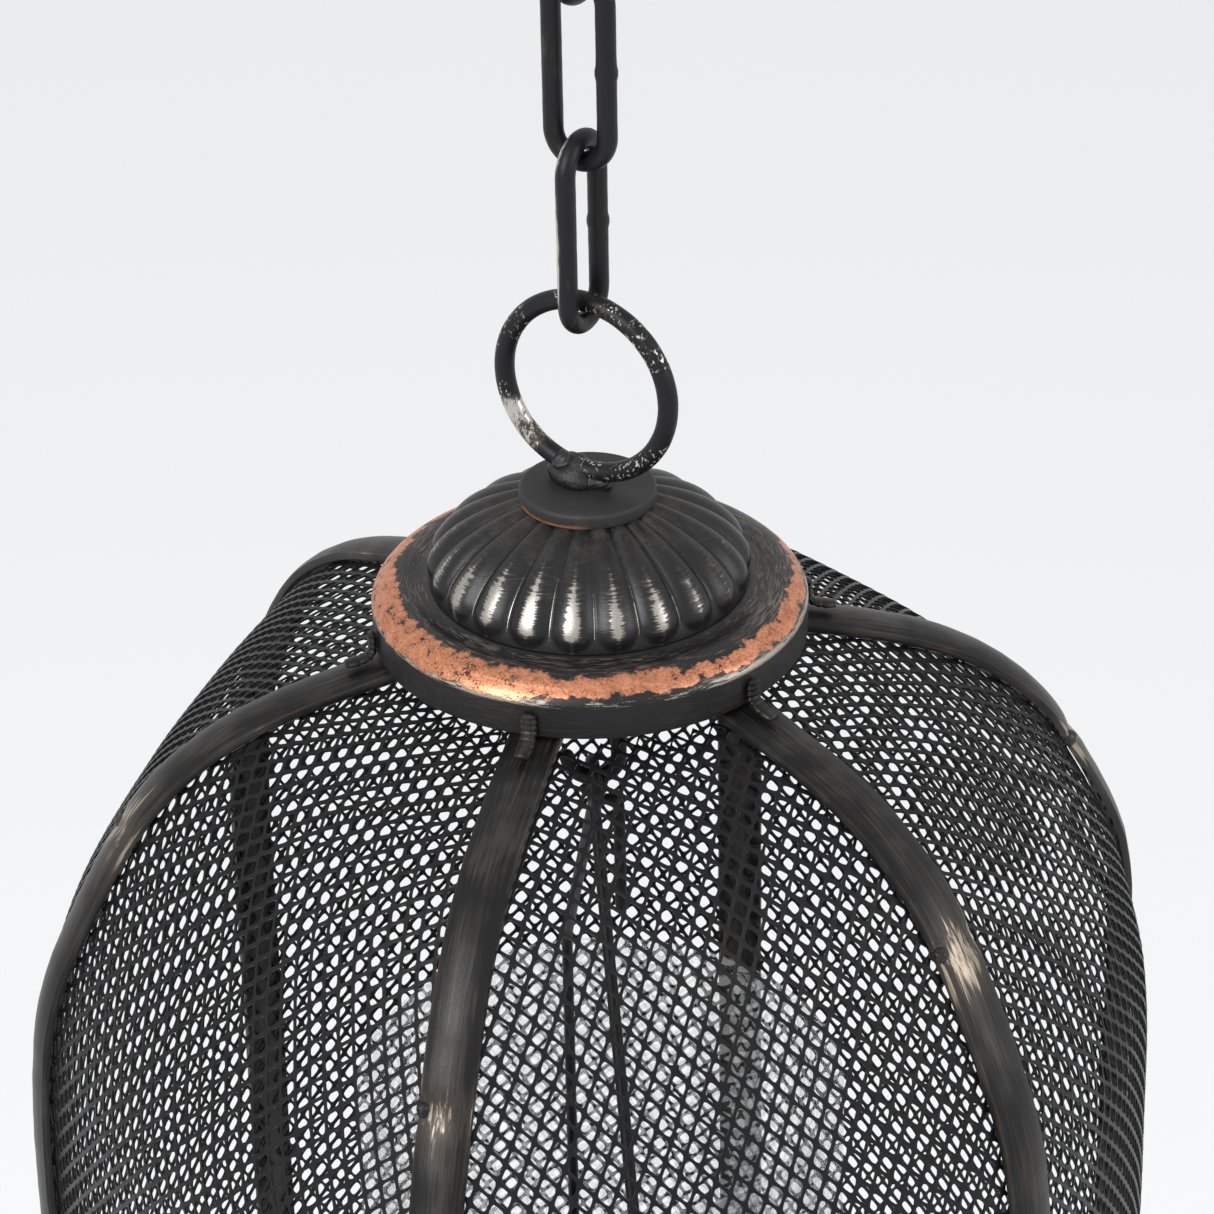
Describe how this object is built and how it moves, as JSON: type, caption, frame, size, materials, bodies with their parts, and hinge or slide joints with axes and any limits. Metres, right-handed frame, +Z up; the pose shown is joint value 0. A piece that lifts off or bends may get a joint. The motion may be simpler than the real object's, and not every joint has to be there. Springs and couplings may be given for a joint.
{
  "type": "hanging lantern",
  "caption": "Birdcage candle lantern on a chain: fluted cap, bent ribs, curved mesh panels, and a glass cylinder in a wire cradle hooked inside.",
  "frame": {"origin": "the hang point: the inside top of the open crook of the top hook, on the lantern's axis", "axes": "+Z up along the lantern's axis; -Y is the side the viewer faces, between the first and second ribs; +X to the viewer's right"},
  "size_m": [0.1825, 0.1812, 0.3901],
  "materials": {
    "hook_iron": "black antique paint on steel wire, brushed at the bends",
    "chain_iron": "black antique paint, worn pewter-brown along the legs",
    "ring_iron": "black antique paint with pale flecks and a worn shine",
    "weld_iron": "black paint over rough weld",
    "cap_iron": "black antique paint with a rubbed brown edge",
    "dome_iron": "black antique paint, brushed silver on the flutes",
    "rim_copper": "black paint rubbed through to copper on the rolled flange, satin skirt",
    "inner_iron": "black satin paint",
    "rib_iron": "black paint with brushed pewter and brown streaks on the crown",
    "mesh_iron": "black satin paint on expanded metal",
    "hoop_iron": "black paint with brushed streaks",
    "cradle_wire": "black satin paint on wire",
    "cradle_iron": "black satin paint on sheet",
    "clear_glass": "clear polished glass with a faint green-grey edge"
  },
  "bodies": {
    "hook": {"top_hook": "hook_iron"},
    "link_4": {"chain_link_4": "chain_iron"},
    "link_3": {"chain_link_3": "chain_iron"},
    "link_2": {"chain_link_2": "chain_iron"},
    "link_1": {"chain_link_1": "chain_iron"},
    "lantern": {"hanging_ring": "ring_iron", "ring_weld": "weld_iron", "crown_disc": "cap_iron", "fluted_dome": "dome_iron", "cap_rim": "rim_copper", "rib_collar": "inner_iron", "hook_plate": "inner_iron", "j_hook": "inner_iron", "rib_1": "rib_iron", "rib_2": "rib_iron", "rib_3": "rib_iron", "rib_4": "rib_iron", "rib_5": "rib_iron", "rib_6": "rib_iron", "rib_tab_1": "weld_iron", "rib_tab_2": "weld_iron", "rib_tab_3": "weld_iron", "rib_tab_4": "weld_iron", "rib_tab_5": "weld_iron", "rib_tab_6": "weld_iron", "mesh_panel_1": "mesh_iron", "mesh_panel_2": "mesh_iron", "mesh_panel_3": "mesh_iron", "mesh_panel_4": "mesh_iron", "mesh_panel_5": "mesh_iron", "mesh_panel_6": "mesh_iron", "base_hoop": "hoop_iron"},
    "cradle": {"cradle_bail": "cradle_wire", "bail_tail": "cradle_wire", "cradle_hoop": "cradle_iron", "cradle_tray": "cradle_iron"},
    "glass": {"glass_cylinder": "clear_glass"}
  },
  "joints": [
    {"name": "link_4_swing", "type": "hinge", "parent": "hook", "child": "link_4", "pos_m": [0, 0, -0.0284], "axis": [0.515, 0.8572, 0], "range_deg": [-30, 30]},
    {"name": "link_3_swing", "type": "hinge", "parent": "link_4", "child": "link_3", "pos_m": [0, 0, -0.054], "axis": [0.8572, -0.515, 0], "range_deg": [-30, 30]},
    {"name": "link_2_swing", "type": "hinge", "parent": "link_3", "child": "link_2", "pos_m": [0, 0, -0.0797], "axis": [0.515, 0.8572, 0], "range_deg": [-30, 30]},
    {"name": "link_1_swing", "type": "hinge", "parent": "link_2", "child": "link_1", "pos_m": [0, 0, -0.1054], "axis": [0.8572, -0.515, 0], "range_deg": [-30, 30]},
    {"name": "lantern_swing", "type": "hinge", "parent": "link_1", "child": "lantern", "pos_m": [0, 0, -0.1311], "axis": [0.515, 0.8572, 0], "range_deg": [-25, 25]},
    {"name": "cradle_swing", "type": "hinge", "parent": "lantern", "child": "cradle", "pos_m": [0, 0, -0.21052], "axis": [1, 0, 0], "range_deg": [-10, 10]},
    {"name": "glass_turn", "type": "hinge", "parent": "cradle", "child": "glass", "pos_m": [0, 0, -0.3186], "axis": [0, 0, 1], "continuous": true}
  ]
}
